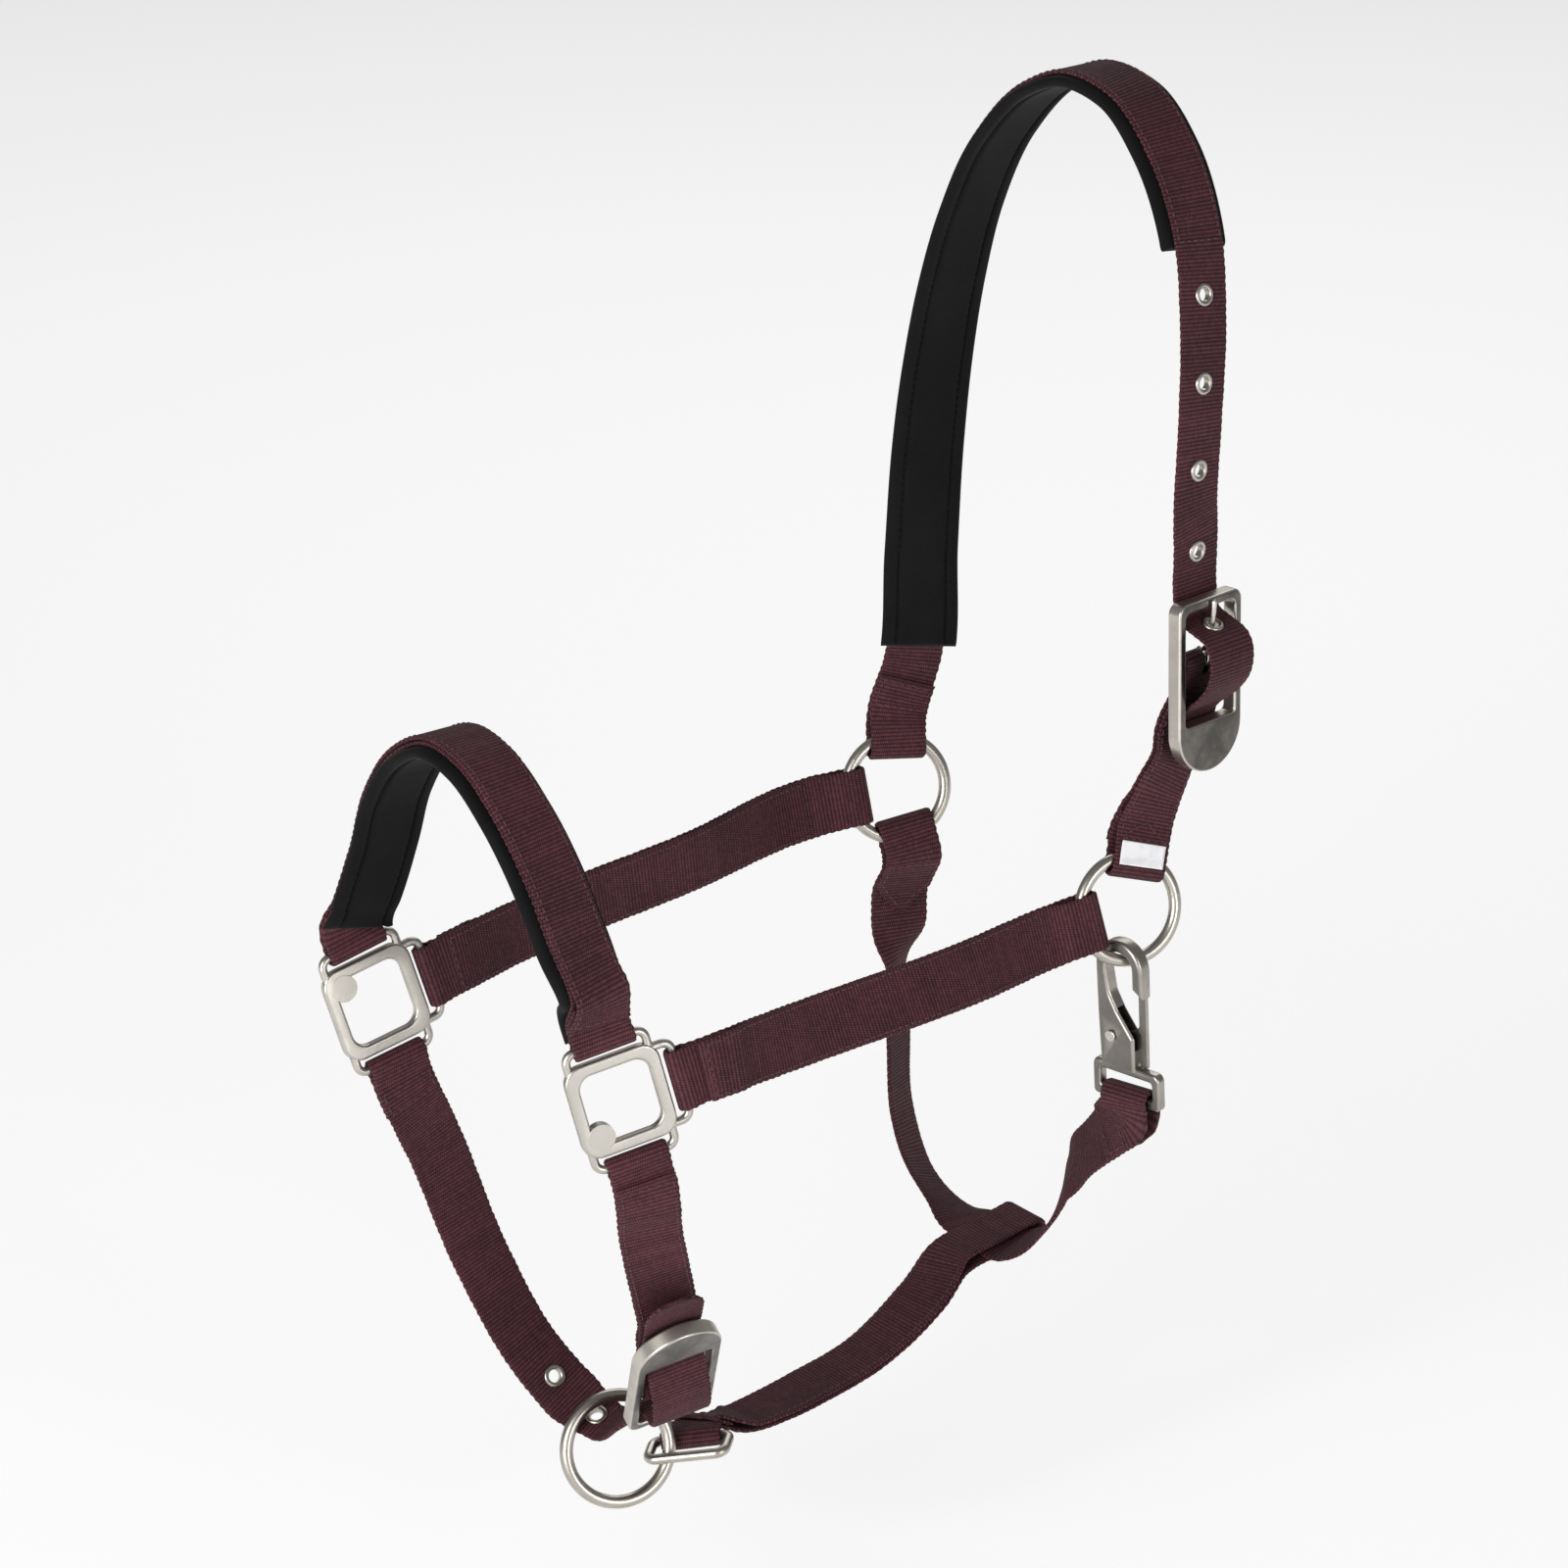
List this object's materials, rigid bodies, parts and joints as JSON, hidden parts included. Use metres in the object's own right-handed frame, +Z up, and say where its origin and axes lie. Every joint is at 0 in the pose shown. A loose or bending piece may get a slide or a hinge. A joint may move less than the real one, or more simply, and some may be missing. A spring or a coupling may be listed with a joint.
{
  "type": "headcollar",
  "caption": "Webbing headcollar with padded crown and noseband, metal squares and rings, pronged buckles and a snap-hook throat strap, for leading or tying a horse.",
  "frame": {"origin": "on the horse's poll, under the middle of the crown pad", "axes": "+X toward the horse's left (near side), -Y toward the nose, +Z up"},
  "size_m": [0.1929, 0.36, 0.5736],
  "materials": {
    "nickel": "satin nickel plate",
    "webbing": "woven burgundy nylon",
    "padding": "fabric-faced black neoprene",
    "label": "plain white woven tape"
  },
  "bodies": {
    "headcollar": {"near_square": "nickel", "off_square": "nickel", "crown_buckle": "nickel", "chin_buckle": "nickel", "noseband_strap": "webbing", "noseband_pad": "padding", "near_cheek_strap": "webbing", "off_cheek_strap": "webbing", "crown_strap": "webbing", "crown_eyelet_1": "nickel", "crown_eyelet_2": "nickel", "crown_eyelet_3": "nickel", "crown_eyelet_4": "nickel", "crown_eyelet_5": "nickel", "crown_pad": "padding", "crown_chape": "webbing", "care_label": "label", "chin_strap": "webbing", "chin_eyelet_1": "nickel", "chin_eyelet_2": "nickel", "chin_eyelet_3": "nickel", "chin_chape": "webbing", "throat_strap": "webbing", "jaw_strap": "webbing"},
    "near_ring": {"near_ring": "nickel"},
    "off_ring": {"off_ring": "nickel"},
    "chin_ring": {"chin_ring": "nickel"},
    "jaw_link": {"jaw_link": "nickel"},
    "crown_prong": {"crown_prong": "nickel"},
    "chin_prong": {"chin_prong": "nickel"},
    "snap": {"snap_hook": "nickel", "snap_rivet": "nickel", "snap_spring": "nickel"},
    "snap_gate": {"snap_gate": "nickel"}
  },
  "joints": [
    {"name": "near_ring_turn", "type": "hinge", "parent": "headcollar", "child": "near_ring", "pos_m": [0.074, -0.034, -0.327], "axis": [0.9499, -0.235, 0.2059], "continuous": true},
    {"name": "off_ring_turn", "type": "hinge", "parent": "headcollar", "child": "off_ring", "pos_m": [-0.074, -0.037, -0.318], "axis": [0.9052, -0.3662, 0.2157], "continuous": true},
    {"name": "chin_ring_turn", "type": "hinge", "parent": "headcollar", "child": "chin_ring", "pos_m": [-0.0055, -0.2373, -0.5416], "axis": [0.907, -0.3072, 0.2881], "continuous": true},
    {"name": "jaw_link_swing", "type": "hinge", "parent": "headcollar", "child": "jaw_link", "pos_m": [0.00261, -0.20515, -0.5432], "axis": [0.741, 0.6409, 0.2003], "range_deg": [-3, 1]},
    {"name": "crown_prong_lift", "type": "hinge", "parent": "headcollar", "child": "crown_prong", "pos_m": [0.081, -0.002, -0.222], "axis": [-0.1203, 0.9927, 0], "range_deg": [0, 2]},
    {"name": "chin_prong_lift", "type": "hinge", "parent": "headcollar", "child": "chin_prong", "pos_m": [0.044, -0.2475, -0.4895], "axis": [-0.2606, -0.9422, -0.2105], "range_deg": [0, 2]},
    {"name": "snap_swing", "type": "hinge", "parent": "headcollar", "child": "snap", "pos_m": [0.078, -0.0348, -0.4048], "axis": [0.9854, 0.1701, 0], "range_deg": [-3, 0]},
    {"name": "gate_swing", "type": "hinge", "parent": "snap", "child": "snap_gate", "pos_m": [0.07234, -0.03729, -0.38185], "axis": [0.1697, -0.9834, -0.0647], "range_deg": [0, 22], "stiffness_Nm_per_rad": 0.05, "springref_deg": -17.19, "deforming": ["snap_spring"]}
  ]
}
